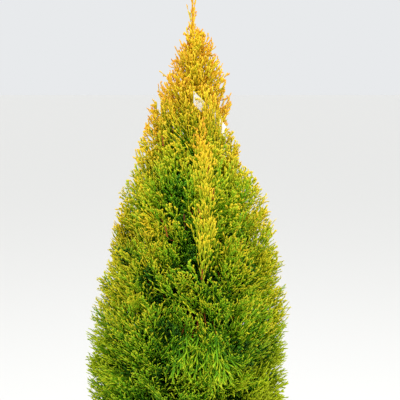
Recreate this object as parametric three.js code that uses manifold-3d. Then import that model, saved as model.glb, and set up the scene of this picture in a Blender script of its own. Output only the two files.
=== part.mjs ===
// A young golden thuja in a round nursery pot: one stem ringed by rising boughs, whose flat sprays make a dense
// pointed crown. Millimetres, +Z up, origin at the centre of the pot's underside, the front towards -Y.
import * as THREE from "three";
import { mergeVertices } from "three/addons/utils/BufferGeometryUtils.js";
import Module from "manifold-3d";

const wasm = await Module();
wasm.setup();

// Clearance between neighbours that touch.
const GAP = 0.35;

// The pot, a moulded container with a deep band round its mouth.
const POT = {
  height: 216,
  baseRadius: 100,
  shoulderRadius: 117,
  bandRadius: 126,
  rimRadius: 131,
  bandHeight: 44,
  wall: 2.6,
  floor: 4,
  facets: 32,
};
const DRAIN = { count: 6, width: 24, height: 7, hole: 6, ring: 66 };
const SOIL_LEVEL = 202;

// The stem: where it starts and ends, how thick it is, and how far it leans.
const STEM = { tip: 994, baseRadius: 10, tipRadius: 1.2, lean: 8, bow: 4, flare: 7, flareFall: 11, roots: 5 };

// The crown's outline as height and radius.
const OUTLINE = [
  [226, 104],
  [262, 132],
  [310, 148],
  [370, 154],
  [440, 156],
  [540, 147],
  [600, 134],
  [654, 121],
  [707, 105],
  [728, 98],
  [752, 82],
  [790, 72],
  [857, 54],
  [901, 40],
  [925, 30],
  [950, 13],
  [1003, 6],
];

// Each tier of the crown: the height of its lower bound at the outline, that bound's rise outwards, its sectors
// with their turn in degrees, the blades in a mass, their least and greatest width as a share of their length, and
// whether its boughs are thick enough to be pieces.
const TIERS = [
  { name: "skirt", from: 226, rise: 0.12, sectors: 6, turn: -68, blades: 7, width: [0.4, 0.7], boughs: true },
  { name: "lower", from: 335, rise: 0.35, sectors: 6, turn: -95, blades: 7, width: [0.5, 0.8], boughs: true },
  { name: "middle", from: 450, rise: 0.75, sectors: 6, turn: -64, blades: 7, width: [0.5, 0.8], boughs: true },
  { name: "upper", from: 565, rise: 1.15, sectors: 5, turn: -58, blades: 7, width: [0.5, 0.8], boughs: false },
  { name: "high", from: 675, rise: 1.6, sectors: 4, turn: -100, blades: 7, width: [0.5, 0.8], boughs: false },
  { name: "crest", from: 775, rise: 2.1, sectors: 3, turn: -80, blades: 7, width: [0.45, 0.75], boughs: false },
  { name: "top", from: 868, rise: 2.6, sectors: 2, turn: -160, blades: 9, width: [0.24, 0.44], boughs: false },
];
const CROWN_TOP = { apex: 1009, rise: 3.4 };

// A blade's length low down and at the tip, and its thickness.
const BLADE = { longest: 104, shortest: 50, thick: 1.6 };

// The blank strip label that hangs in the front of the crown.
const LABEL = { width: 19, thick: 0.9, radius: 48, from: -88, to: -24, top: 846, fall: 54 };

const COLOURS = {
  bark: { color: "#7a4a2e", roughness: 0.85 },
  plastic: { color: "#3f4043", roughness: 0.55 },
  peat: { color: "#3a2a1e", roughness: 1 },
  label: { color: "#f2f2ee", roughness: 0.45 },
  skirt: { color: "#5f8f1c", roughness: 0.8 },
  lower: { color: "#6c981d", roughness: 0.8 },
  middle: { color: "#86a01c", roughness: 0.8 },
  upper: { color: "#a8a81d", roughness: 0.8 },
  high: { color: "#c4a91f", roughness: 0.8 },
  crest: { color: "#d2a722", roughness: 0.8 },
  top: { color: "#d8a02a", roughness: 0.8 },
};

const mix = THREE.MathUtils.lerp;
const limit = THREE.MathUtils.clamp;
const degrees = THREE.MathUtils.degToRad;

// A repeatable random number from 0 to 1 for a draw of a spray in a mass.
function chance(mass, spray, draw) {
  const wave = Math.sin(mass * 12.9898 + spray * 78.233 + draw * 37.719) * 43758.5453;
  return wave - Math.floor(wave);
}

// The crown's radius at a height.
function outline(height) {
  const last = OUTLINE[OUTLINE.length - 1];
  if (height <= OUTLINE[0][0]) return OUTLINE[0][1];
  if (height >= last[0]) return last[1];
  const next = OUTLINE.findIndex(([level]) => level > height);
  const [low, inner] = OUTLINE[next - 1];
  const [high, outer] = OUTLINE[next];
  return mix(inner, outer, (height - low) / (high - low));
}

// The stem's centre line: a lean to the right that steadies half way, and a slight bow.
function stemCentre(height) {
  const share = limit((height - SOIL_LEVEL) / (STEM.tip - SOIL_LEVEL), 0, 1);
  const lean = STEM.lean * THREE.MathUtils.smoothstep(share, 0, 0.6);
  return new THREE.Vector3(lean, STEM.bow * Math.sin(2.6 * Math.PI * share), height);
}

function stemRadius(height) {
  const share = limit((height - SOIL_LEVEL) / (STEM.tip - SOIL_LEVEL), 0, 1);
  return mix(STEM.baseRadius, STEM.tipRadius, share ** 0.85);
}

// A point by its radius and bearing from the stem's centre line, and its height.
function aroundStem(radius, bearing, height) {
  const centre = stemCentre(height);
  return centre.add(new THREE.Vector3(radius * Math.cos(bearing), radius * Math.sin(bearing), 0));
}

// The tiers with the height of their bounds at the stem, and the rise of the upper bound.
const apexes = [...TIERS.map((tier) => tier.from - tier.rise * outline(tier.from)), CROWN_TOP.apex];
const rises = [...TIERS.map((tier) => tier.rise), CROWN_TOP.rise];
const tiers = TIERS.map((tier, number) => ({
  ...tier,
  number,
  low: apexes[number],
  high: apexes[number + 1],
  highRise: rises[number + 1],
}));

// A tier's height at a radius, from its under side at share 0 to its upper side at share 1.
function heightIn(tier, radius, share) {
  return mix(tier.low + tier.rise * radius, tier.high + tier.highRise * radius, share);
}

// The radius at which a tier meets the crown's outline.
function reach(tier, share) {
  let [near, far] = [0, 200];
  for (let step = 0; step < 30; step++) {
    const middle = (near + far) / 2;
    if (outline(heightIn(tier, middle, share)) > middle) near = middle;
    else far = middle;
  }
  return near;
}

// A closed geometry as a solid, and a solid as a geometry.
function solid(geometry) {
  const loose = geometry.index ? geometry.toNonIndexed() : geometry;
  const bare = new THREE.BufferGeometry().setAttribute("position", loose.attributes.position);
  const closed = mergeVertices(bare, 1e-3);
  const vertProperties = closed.attributes.position.array;
  const triVerts = new Uint32Array(closed.index.array);
  return new wasm.Manifold(new wasm.Mesh({ numProp: 3, vertProperties, triVerts }));
}

function geometryOf(body) {
  const { vertProperties, triVerts } = body.getMesh();
  return new THREE.BufferGeometry()
    .setAttribute("position", new THREE.BufferAttribute(vertProperties, 3))
    .setIndex(new THREE.BufferAttribute(triVerts, 1));
}

// The largest body of a solid, so that a scrap left by a cut is dropped.
function largest(body) {
  return body.decompose().reduce((best, piece) => (piece.volume() > best.volume() ? piece : best));
}

// A limb along a curve: a cylinder whose rings are moved on to the curve and given its radius.
function limb(curve, radiusAt, sides, steps) {
  const tube = new THREE.CylinderGeometry(1, 1, 1, sides, steps);
  const frames = curve.computeFrenetFrames(steps, false);
  const place = tube.attributes.position;
  for (let corner = 0; corner < place.count; corner++) {
    const along = place.getY(corner) + 0.5;
    const ring = Math.round(along * steps);
    const [side, front] = [place.getX(corner), place.getZ(corner)];
    const point = curve.getPointAt(along);
    const radius = radiusAt(along, Math.atan2(front, side), point.z);
    point.addScaledVector(frames.binormals[ring], side * radius);
    point.addScaledVector(frames.normals[ring], front * radius);
    place.setXYZ(corner, point.x, point.y, point.z);
  }
  return tube;
}

// The stem from the soil to the leader's tip, or the same swollen by a margin, to cut its neighbours clear.
function stem(margin) {
  const shares = [0, 0.012, 0.035, 0.08, 0.16, 0.28, 0.42, 0.56, 0.7, 0.84, 1];
  const points = shares.map((share) => stemCentre(mix(SOIL_LEVEL - 6, STEM.tip + margin, share)));
  const curve = new THREE.CatmullRomCurve3(points);
  const radiusAt = (along, angle, height) => {
    const lobe = 0.6 + 0.4 * Math.cos(STEM.roots * angle);
    const flare = STEM.flare * lobe * Math.exp(-Math.max(height - SOIL_LEVEL, 0) / STEM.flareFall);
    return stemRadius(height) + flare + margin;
  };
  return solid(limb(curve, radiusAt, 9, 28));
}

// The stem ends in a flat cut at the soil.
function cutAtSoil(body) {
  const below = new THREE.BoxGeometry(200, 200, 60).translate(0, 0, SOIL_LEVEL + GAP - 30);
  return body.subtract(solid(below));
}

// The foliage masses: each is one sector of one tier.
const masses = tiers.flatMap((tier) =>
  Array.from({ length: tier.sectors }, (_, sector) => ({
    tier,
    sector,
    bearing: degrees(tier.turn) + (2 * Math.PI * sector) / tier.sectors,
    half: Math.PI / tier.sectors,
  })),
);
masses.forEach((mass, number) => (mass.number = number + 1));

// A point in a mass: its share of the way out, across from -1 to 1, and up from 0 to 1.
function inMass(mass, out, across, up) {
  const radius = out * reach(mass.tier, up);
  return aroundStem(radius, mass.bearing + across * mass.half, heightIn(mass.tier, radius, up));
}

// A heart's half width and half height as shares of its space, how far its under side stays back, and how far its
// faces, edges and corners stand out. In the top tier it stops short of the leader's tip.
const HEART = { across: 0.9, up: 0.42, lean: 0.07, rounding: [0, 1, 0.87, 0.74], short: 0.15 };

// How long a blade is at a height, as far as its place in the crown sets it.
function bladeLength(height) {
  return mix(BLADE.longest, BLADE.shortest, limit((height - 250) / 700, 0, 1) ** 1.3);
}

// The share of the way out at which a mass's blades start, and its heart's inner and outer side.
for (const mass of masses) {
  const radius = reach(mass.tier, 0.5);
  const slope = (mass.tier.rise + mass.tier.highRise) / 2;
  const spread = bladeLength(heightIn(mass.tier, radius, 0.5)) / Math.hypot(1, slope) / radius;
  mass.root = Math.max(1 - spread, 0.42);
  mass.inner = Math.max(mass.root - 0.17, 0.3);
  mass.outer = mix(mass.root, 1, 0.38);
}

const BOUGH = { lowest: 4.2, highest: 3.2 };

// A mass's limb leaves the stem low in its tier and bends upwards.
function limbCurve(mass, end) {
  const start = stemCentre(heightIn(mass.tier, 0, 0.4));
  const bend = inMass(mass, end * 0.6, 0, 0.27);
  return new THREE.QuadraticBezierCurve3(start, bend, inMass(mass, end, 0, 0.5));
}

const clearStem = stem(GAP);

// A bough, or the same swollen by a margin to cut its mass clear.
function bough(mass, margin) {
  const curve = limbCurve(mass, mass.inner - 0.06 + margin / 100);
  const radius = mix(BOUGH.lowest, BOUGH.highest, mass.tier.number / 2);
  const shape = limb(curve, (along) => radius * mix(1.1, 0.72, along) + margin, 6, 3);
  return margin ? solid(shape) : largest(solid(shape).subtract(clearStem));
}

// The stem inside a mass goes on from its bough's tip, or from the tree's stem in the tiers without boughs.
function massStem(mass) {
  if (!mass.tier.boughs) {
    const shape = limb(limbCurve(mass, mass.root), (along) => mix(2.8, 1.8, along), 3, 3);
    return largest(solid(shape).subtract(clearStem));
  }
  const limbEnd = limbCurve(mass, mass.inner - 0.06);
  const onward = limbEnd.getTangent(1);
  const start = limbEnd.getPoint(1);
  const bend = start.clone().addScaledVector(onward, 8);
  const curve = new THREE.QuadraticBezierCurve3(start, bend, inMass(mass, mass.root + 0.04, 0, 0.5));
  return solid(limb(curve, (along) => mix(2.6, 1.8, along), 3, 2));
}

// The dense heart of a mass, which its sprays stand out of: a block, rounded and moved into the mass's space.
function heart(mass) {
  const block = new THREE.BoxGeometry(2, 2, 2, 2, 2, 2);
  const place = block.attributes.position;
  for (let corner = 0; corner < place.count; corner++) {
    const sides = [place.getX(corner), place.getY(corner), place.getZ(corner)];
    const pull = HEART.rounding[Math.round(Math.hypot(...sides) ** 2)];
    const [out, across, up] = sides.map((side) => side * pull);
    const ragged = 0.05 * (chance(mass.number, Math.round(4 * out + 2 * across + up), 9) - 0.5);
    const way = mix(mass.inner, mass.outer, 0.5 + 0.5 * out) + ragged - HEART.lean * (0.5 - 0.5 * up);
    const lower = mass.tier.sectors > 2 ? 0 : HEART.short * (0.5 + 0.5 * up);
    const point = inMass(mass, way, HEART.across * across, 0.5 + HEART.up * up - lower);
    place.setXYZ(corner, point.x, point.y, point.z);
  }
  return solid(block);
}

// Where a spray starts in its mass's heart and ends at the crown's outline, and the direction of its width. Each
// new attempt at it is slimmer and lies flatter along its tier.
function sprayOf(mass, number, attempt) {
  const draw = (which) => chance(mass.number, number + 1, which + 10 * attempt);
  const spread = (step, start) => (start + number * step) % 1;
  const wide = mass.tier.sectors > 2 ? 0.87 : 0.6;
  const across = wide * (2 * spread(0.7548776662, chance(mass.number, 0, 1)) - 1);
  const up = spread(0.5698402910, chance(mass.number, 0, 2));
  const tip = inMass(mass, 0.95 + 0.07 * draw(1), across, mix(0.08, 0.94, up));
  const length = bladeLength(tip.z) * mix(0.88, 1.12, draw(4));
  const centre = stemCentre(tip.z);
  const radius = Math.hypot(tip.x - centre.x, tip.y - centre.y);
  const slope = mix(mass.tier.rise, mass.tier.highRise, up);
  const inwards = limit(1 - length / Math.hypot(1, slope) / radius, mass.root - 0.08, mass.root + 0.1);
  const root = inMass(mass, inwards, 0.57 * across + 0.24 * (draw(2) - 0.5), 0.5 + 0.5 * (up - 0.5));
  const along = tip.clone().sub(root);
  const reached = along.length();
  along.normalize();
  const level = new THREE.Vector3(-along.y, along.x, 0).normalize();
  const broadside = level.applyAxisAngle(along, (2.2 - 0.13 * attempt) * (draw(5) - 0.5));
  return { root, along, wide: broadside, length: reached, width: mix(...mass.tier.width, draw(6)) * (1 - 0.035 * attempt) };
}

// A spray's outline, as shares of its length and half width, up one side and down the other.
const EDGE = [
  [0, -0.07],
  [0.4, -0.16],
  [0.8, -0.95],
  [0.72, -0.24],
  [1, 0],
  [0.96, 0.56],
  [0.8, 0.22],
  [0.72, 1],
  [0.42, 0.18],
  [0, 0.07],
];

function blade(spray) {
  const half = (spray.length * spray.width) / 2;
  const edge = EDGE.map(([along, across]) => new THREE.Vector2(along * spray.length, across * half));
  const depth = BLADE.thick;
  const plate = new THREE.ExtrudeGeometry(new THREE.Shape(edge), { depth, bevelEnabled: false });
  plate.translate(0, 0, -depth / 2);
  const normal = new THREE.Vector3().crossVectors(spray.along, spray.wide);
  const turned = new THREE.Matrix4().makeBasis(spray.along, spray.wide, normal);
  plate.applyMatrix4(turned.setPosition(spray.root));
  return plate;
}

// Whether every corner of a geometry lies in its mass's space, clear of the bounds by a margin.
function keepsInside(geometry, mass, margin = 0.8) {
  const place = geometry.attributes.position;
  const corner = new THREE.Vector3();
  for (let number = 0; number < place.count; number++) {
    corner.fromBufferAttribute(place, number);
    const centre = stemCentre(corner.z);
    const [x, y] = [corner.x - centre.x, corner.y - centre.y];
    const radius = Math.hypot(x, y);
    const turn = Math.atan2(y, x) - mass.bearing;
    const aside = Math.abs(Math.atan2(Math.sin(turn), Math.cos(turn)));
    const sideways = radius * Math.sin(Math.min(mass.half - aside, Math.PI / 2));
    if (sideways < margin || radius < stemRadius(corner.z) + margin) return false;
    if (corner.z < mass.tier.low + mass.tier.rise * radius + margin * 1.5) return false;
    if (corner.z > mass.tier.high + mass.tier.highRise * radius - margin * 2.5) return false;
  }
  return true;
}

// The label: a strip bent round the front of the crown that slopes down to the right.
function label(margin) {
  const strip = new THREE.BoxGeometry(1, 1, 1, 1, 5, 1);
  const place = strip.attributes.position;
  for (let corner = 0; corner < place.count; corner++) {
    const [deep, along, wide] = [place.getX(corner), place.getY(corner), place.getZ(corner)];
    const bearing = degrees(mix(LABEL.from, LABEL.to, 0.5 - along * (1 + margin / 25)));
    const radius = LABEL.radius - deep * (LABEL.thick + 2 * margin) + 7 * (0.5 - along);
    const height = LABEL.top - LABEL.fall * (0.5 - along) + wide * (LABEL.width + 2 * margin);
    const point = aroundStem(radius, bearing, height);
    place.setXYZ(corner, point.x, point.y, point.z);
  }
  return strip;
}

const clearLabel = solid(label(GAP));

function foliage(mass) {
  const core = largest(heart(mass).subtract(clearStem));
  let body = core.add(massStem(mass));
  let outer = null;
  for (let number = 0; number < mass.tier.blades; number++) {
    for (let attempt = 0; attempt < 16; attempt++) {
      const plate = blade(sprayOf(mass, number, attempt));
      if (!keepsInside(plate, mass)) continue;
      const whole = solid(plate);
      if (!whole.intersect(clearStem).isEmpty()) continue;
      const outside = whole.subtract(core);
      if (outside.decompose().length > 1 || outside.volume() > 0.97 * whole.volume()) continue;
      if (outer && !outer.intersect(outside).isEmpty()) continue;
      outer = outer ? outer.add(outside) : outside;
      body = body.add(whole);
      break;
    }
  }
  if (mass.tier.boughs) body = largest(body.subtract(bough(mass, GAP)));
  if (!body.intersect(clearLabel).isEmpty()) body = largest(body.subtract(clearLabel));
  return body;
}

// The pot: a turned wall and floor, with notches at its foot and holes near the edge of its floor to drain it.
function pot() {
  const inner = (radius) => radius - POT.wall;
  const step = POT.height - POT.bandHeight;
  const profile = [
    [0, 0],
    [POT.baseRadius - 1.5, 0],
    [POT.baseRadius, 1.5],
    [POT.shoulderRadius, step],
    [POT.bandRadius, step + 3],
    [POT.rimRadius - 2, POT.height - 5],
    [POT.rimRadius, POT.height - 3],
    [POT.rimRadius, POT.height],
    [inner(POT.rimRadius - 2), POT.height],
    [inner(POT.bandRadius), step + 2],
    [inner(POT.shoulderRadius), step - 1],
    [inner(POT.baseRadius), POT.floor],
    [0, POT.floor],
  ];
  const points = profile.map(([radius, height]) => new THREE.Vector2(radius, height));
  const turned = new THREE.LatheGeometry(points, POT.facets);
  let body = solid(turned.rotateX(Math.PI / 2));
  const notch = new THREE.BoxGeometry(12, DRAIN.width, 2 * DRAIN.height);
  const hole = new THREE.CylinderGeometry(DRAIN.hole, DRAIN.hole, 4 * POT.floor, 8).rotateX(Math.PI / 2);
  for (let number = 0; number < DRAIN.count; number++) {
    const bearing = (2 * Math.PI * (number + 0.5)) / DRAIN.count;
    const cutter = notch.clone().translate(POT.baseRadius, 0, 0).rotateZ(bearing);
    const drill = hole.clone().translate(DRAIN.ring, 0, 0).rotateZ(bearing);
    body = body.subtract(solid(cutter)).subtract(solid(drill));
  }
  return body;
}

// The soil fills the pot to just below its rim, level at the stem and a little uneven round it.
function soil() {
  const step = POT.height - POT.bandHeight;
  const side = (radius) => radius - POT.wall - GAP;
  const share = (SOIL_LEVEL - step) / POT.bandHeight;
  const edge = mix(side(POT.bandRadius), side(POT.rimRadius - 2), share) - 0.3;
  const rings = [96, 62, 24];
  const profile = [
    [0, POT.floor + GAP],
    [side(POT.baseRadius), POT.floor + GAP],
    [side(POT.shoulderRadius), step - 1],
    [side(POT.bandRadius) - 0.4, step + 3],
    [edge, SOIL_LEVEL],
    ...rings.map((radius) => [radius, SOIL_LEVEL]),
    [0, SOIL_LEVEL],
  ];
  const points = profile.map(([radius, height]) => new THREE.Vector2(radius, height));
  const turned = new THREE.LatheGeometry(points, POT.facets).rotateX(Math.PI / 2);
  const place = turned.attributes.position;
  for (let corner = 0; corner < place.count; corner++) {
    const [x, y, z] = [place.getX(corner), place.getY(corner), place.getZ(corner)];
    const radius = Math.hypot(x, y);
    if (z < SOIL_LEVEL - 0.1 || radius < 40 || radius > 100) continue;
    place.setZ(corner, z + 1.6 * Math.sin(x * 0.11 + 1) * Math.cos(y * 0.13) - 1.2);
  }
  return solid(turned);
}

const plant = new THREE.Group();

function addPiece(name, geometry, kind) {
  const piece = new THREE.Mesh(geometry, new THREE.MeshStandardMaterial({ ...COLOURS[kind], metalness: 0 }));
  piece.name = name;
  plant.add(piece);
}

addPiece("pot", geometryOf(pot()), "plastic");
addPiece("soil", geometryOf(soil()), "peat");
addPiece("trunk", geometryOf(cutAtSoil(stem(0))), "bark");
addPiece("label", label(0), "label");
for (const mass of masses) {
  const place = `${mass.tier.name}_${mass.sector + 1}`;
  if (mass.tier.boughs) addPiece(`bough_${place}`, geometryOf(bough(mass, 0)), "bark");
  addPiece(`foliage_${place}`, geometryOf(foliage(mass)), mass.tier.name);
}

export default plant;
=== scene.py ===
import math

import bpy
import numpy as np
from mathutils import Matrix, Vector


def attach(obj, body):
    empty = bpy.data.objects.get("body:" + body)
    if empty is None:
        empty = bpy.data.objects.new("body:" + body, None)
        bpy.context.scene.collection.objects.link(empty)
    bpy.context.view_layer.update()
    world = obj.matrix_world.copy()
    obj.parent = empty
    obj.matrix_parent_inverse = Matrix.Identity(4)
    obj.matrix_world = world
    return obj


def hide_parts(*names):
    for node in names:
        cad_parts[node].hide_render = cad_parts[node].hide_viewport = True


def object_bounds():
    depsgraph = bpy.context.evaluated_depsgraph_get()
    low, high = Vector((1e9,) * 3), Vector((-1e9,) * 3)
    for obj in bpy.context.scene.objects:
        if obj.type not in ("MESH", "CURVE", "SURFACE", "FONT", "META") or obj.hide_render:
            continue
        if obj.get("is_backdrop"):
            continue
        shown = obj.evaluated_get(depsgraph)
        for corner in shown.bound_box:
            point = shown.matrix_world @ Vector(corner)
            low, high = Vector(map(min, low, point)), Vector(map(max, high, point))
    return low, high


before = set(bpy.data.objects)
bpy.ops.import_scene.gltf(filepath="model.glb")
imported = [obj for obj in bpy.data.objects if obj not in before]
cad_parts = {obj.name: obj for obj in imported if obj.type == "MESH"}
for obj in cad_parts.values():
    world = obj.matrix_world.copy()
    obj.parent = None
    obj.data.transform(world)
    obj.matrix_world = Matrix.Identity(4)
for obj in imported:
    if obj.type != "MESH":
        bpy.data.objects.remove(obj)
cad_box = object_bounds()

# The camera stands a metre and a half in front of the plant, level with its upper crown, and looks slightly
# down, as in the photograph, so that the crown fills the picture and its foot and its pot are below the edge.
# Its place is in metres and its tilt in degrees.
CAMERA_PLACE = (0.019, -1.5, 0.86)
CAMERA_TILT = 6.4
LENS = 90
SENSOR_WIDTH = 36
camera_data = bpy.data.cameras.new("camera")
camera_data.sensor_width = SENSOR_WIDTH
camera_data.lens = LENS
camera = bpy.data.objects.new("camera", camera_data)
bpy.context.collection.objects.link(camera)
camera.location = CAMERA_PLACE
camera.rotation_euler = (math.radians(90 - CAMERA_TILT), 0, 0)
bpy.context.scene.camera = camera


# The studio is a pale floor under a plain pale sky, with soft light from above and from both sides, as on an
# overcast day. Its sizes are metres.
FLOOR_WIDTH = 240
LIGHTS = {
    "light_above": ("AREA", (0.2, -0.9, 2.9), 52),
    "light_left": ("SUN", (-2.2, 0.0, 1.4), 1.2),
    "light_right": ("SUN", (2.2, 0.0, 1.4), 1.2),
}
PANEL_WIDTH = 2.2
SIDE_LIGHT_WIDTH = math.radians(35)
LIT_POINT = Vector((0, 0, 0.6))


def linear(colour):
    """An sRGB hex colour as linear red, green, blue and alpha."""
    shares = [int(colour[start:start + 2], 16) / 255 for start in (1, 3, 5)]
    return [share / 12.92 if share < 0.04045 else ((share + 0.055) / 1.055) ** 2.4 for share in shares] + [1]


def new_material(name, colour, roughness, specular=0.5):
    """A material and its shader, in one plain colour until a pattern is linked to it."""
    material = bpy.data.materials.new(name)
    material.use_nodes = True
    shader = material.node_tree.nodes["Principled BSDF"]
    shader.inputs["Base Color"].default_value = linear(colour)
    shader.inputs["Roughness"].default_value = roughness
    shader.inputs["Specular IOR Level"].default_value = specular
    return material, shader


# Matt backdrop paper: it has hardly any gloss, so it only takes the plant's soft shadow.
floor_material, _ = new_material("studio_floor_paper", "#E0DFDC", 0.9)
bpy.ops.mesh.primitive_plane_add(size=FLOOR_WIDTH, location=(0, 0, 0))
floor = bpy.context.object
floor.name = "studio_floor"
floor.data.materials.append(floor_material)
floor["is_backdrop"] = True
sky = bpy.data.worlds.new("studio_light")
sky.use_nodes = True
background = sky.node_tree.nodes["Background"]
background.inputs["Color"].default_value = linear("#E8EAEC")
background.inputs["Strength"].default_value = 1.0
bpy.context.scene.world = sky
bpy.context.scene.view_settings.view_transform = "Standard"
for name, (kind, place, power) in LIGHTS.items():
    lamp = bpy.data.lights.new(name, kind)
    lamp.energy = power
    if kind == "AREA":
        lamp.size = PANEL_WIDTH
    else:
        lamp.angle = SIDE_LIGHT_WIDTH
    light = bpy.data.objects.new(name, lamp)
    bpy.context.collection.objects.link(light)
    light.location = place
    light.rotation_euler = (LIT_POINT - Vector(place)).to_track_quat("-Z", "Y").to_euler()


# The trunk is one thin stem of living wood, rooted in the soil, under red-brown bark that peels in long
# fibres. It rises from a small flare and leans a little to the right. Its young tip is clad in golden scales.
METRE = 0.001
SOIL_LEVEL = 202
STEM_TIP = 994
STEM = {
    "base_radius": 10, "tip_radius": 1.2, "taper": 0.85, "lean": 8, "lean_ends": 0.6, "bow": 4,
    "bow_waves": 2.6, "flare": 5.25, "flare_fall": 11, "roots": 5, "root_spread": 0.18, "sides": 40,
    "relief": 0.07,
}
FLARE_RINGS = (0.35, 1.85, 3.85, 6.35, 9.35, 13.35, 18.35, 24.35, 32.35)
STRAIGHT_FROM = 244
STRAIGHT_RINGS = 150
CLAD_FROM = 880
# Ridges of bark round a limb: how many, their share of the relief, how far they swing and how fast.
RIDGES = ((5, 1.0, 0.9, 0.031), (13, 0.6, 1.7, 0.05))


def connect(material, node, links):
    """Links a node's inputs, by name or number, each to a socket or to another node's first output."""
    for name, source in links.items():
        socket = source.outputs[0] if isinstance(source, bpy.types.Node) else source
        material.node_tree.links.new(socket, node.inputs[name])


def add_node(material, kind, settings=None, links=None):
    """Adds a node with its settings, each an input, a property or a ramp's stops, and with its links."""
    node = material.node_tree.nodes.new("ShaderNode" + kind)
    for name, value in (settings or {}).items():
        if name == "stops":
            for stop, (position, colour) in zip(node.color_ramp.elements, value):
                stop.position = position
                stop.color = linear(colour)
        elif name in node.inputs:
            node.inputs[name].default_value = value
        else:
            setattr(node, name, value)
    connect(material, node, links or {})
    return node


def joined_mesh(name, corners, faces, materials, choice=None):
    """A piece from corners in millimetres and triangles, each with its material's number."""
    mesh = bpy.data.meshes.new(name)
    mesh.from_pydata(corners * METRE, [], faces, shade_flat=False)
    for material in materials:
        mesh.materials.append(material)
    if choice is not None:
        mesh.polygons.foreach_set("material_index", choice.astype(np.int32))
    piece = bpy.data.objects.new(name, mesh)
    bpy.context.collection.objects.link(piece)
    return piece


def mix(low, high, share):
    return low + (high - low) * share


def stem_share(height):
    """How far up the stem a height lies, from 0 to 1."""
    return np.interp(height, (SOIL_LEVEL, STEM_TIP), (0, 1))


def stem_centre(height):
    share = stem_share(height)
    eased = min(share / STEM["lean_ends"], 1)
    lean = STEM["lean"] * eased * eased * (3 - 2 * eased)
    return np.array([lean, STEM["bow"] * math.sin(STEM["bow_waves"] * math.pi * share), height])


def stem_radius(height):
    return mix(STEM["base_radius"], STEM["tip_radius"], stem_share(height) ** STEM["taper"])


def limb_arrays(points, radii, sides, relief):
    """The corners and faces of a tapering limb through points, closed at both ends, with ridges of bark."""
    ahead = np.gradient(points, axis=0)
    ahead /= np.linalg.norm(ahead, axis=1)[:, None]
    # A direction that the limb never takes, to turn its rings from.
    guide = np.array([0.31, 0.95, 0.05]) if abs(ahead[0][1]) < 0.8 else np.array([1.0, 0.1, 0.1])
    side = np.cross(ahead, guide)
    side /= np.linalg.norm(side, axis=1)[:, None]
    front = np.cross(ahead, side)
    turn = np.arange(sides) * 2 * math.pi / sides
    bark_height = 1
    for count, share, swing, pace in RIDGES:
        swung = count * turn + swing * np.sin(points[:, 2:3] * pace)
        bark_height = bark_height + share * relief * np.cos(swung)
    ring = side[:, None, :] * np.cos(turn)[None, :, None] + front[:, None, :] * np.sin(turn)[None, :, None]
    corners = points[:, None, :] + ring * (radii[:, None] * bark_height)[:, :, None]
    corners = np.concatenate([corners.reshape(-1, 3), points[:1], points[-1:]])
    here = np.arange(sides)
    after = (here + 1) % sides
    band = np.stack([here, after, after + sides, here, after + sides, here + sides], axis=1).reshape(-1, 3)
    levels = len(points)
    bands = (band + sides * np.arange(levels - 1)[:, None, None]).reshape(-1, 3)
    foot, tip, last = levels * sides, levels * sides + 1, (levels - 1) * sides
    ends = np.stack([here * 0 + foot, after, here, here * 0 + tip, last + here, last + after], axis=1)
    return corners, np.concatenate([bands, ends.reshape(-1, 3)])


# Thuja bark is dry and fibrous, so it is matt, with fine upright grooves between dark brown and fox-red
# fibres. A fibre is drawn 1.9 mm wide, about four times life, so that it shows.
FIBRE_WIDTH = 1.923
FIBRE_STRETCH = (1, 1, 0.12)
bark, bark_shader = new_material("thuja_bark_fibrous", "#6E3E24", 0.8)
place = add_node(bark, "TexCoord").outputs["Object"]
upright = add_node(bark, "Mapping", {"Scale": FIBRE_STRETCH}, {"Vector": place})
fibre_noise = {"Scale": 1 / (FIBRE_WIDTH * METRE), "Detail": 4, "Roughness": 0.6}
fibre = add_node(bark, "TexNoise", fibre_noise, {"Vector": upright})
bark_shades = add_node(bark, "ValToRGB", {"stops": ((0.32, "#42200C"), (0.7, "#94501F"))}, {"Fac": fibre})
grooves = add_node(bark, "Bump", {"Strength": 0.7, "Distance": 0.8 * METRE}, {"Height": fibre})
connect(bark, bark_shader, {"Base Color": bark_shades, "Normal": grooves})
# Young scales are smooth and waxy, so the tip has a soft, even gold with hardly any gloss.
young_scales, _ = new_material("thuja_leader_clad_in_scales", "#D6A42B", 0.6, 0.2)

straight = np.linspace(STRAIGHT_FROM, STEM_TIP, STRAIGHT_RINGS)
heights = np.concatenate([SOIL_LEVEL + np.array(FLARE_RINGS), straight])
radii = np.array([stem_radius(height) for height in heights])
radii += STEM["flare"] * np.exp(-(heights - SOIL_LEVEL) / STEM["flare_fall"])
centres = np.array([stem_centre(height) for height in heights])
corners, faces = limb_arrays(centres, radii, STEM["sides"], STEM["relief"])
turn = np.arctan2(corners[:, 1], corners[:, 0])
spread = np.cos(STEM["roots"] * turn) * np.exp(-(corners[:, 2] - SOIL_LEVEL) / STEM["flare_fall"])
spread[-2:] = 0
corners[:, :2] *= (1 + STEM["root_spread"] * spread)[:, None]
clad = corners[faces][:, :, 2].mean(axis=1) > CLAD_FROM
trunk = joined_mesh("trunk_bark", corners, faces, [bark, young_scales], clad)
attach(trunk, "root")
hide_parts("trunk")


# The boughs are thin limbs of the same wood and bark. They leave the trunk low in their tier of the crown,
# bend upwards and run on into their mass of foliage.

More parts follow.
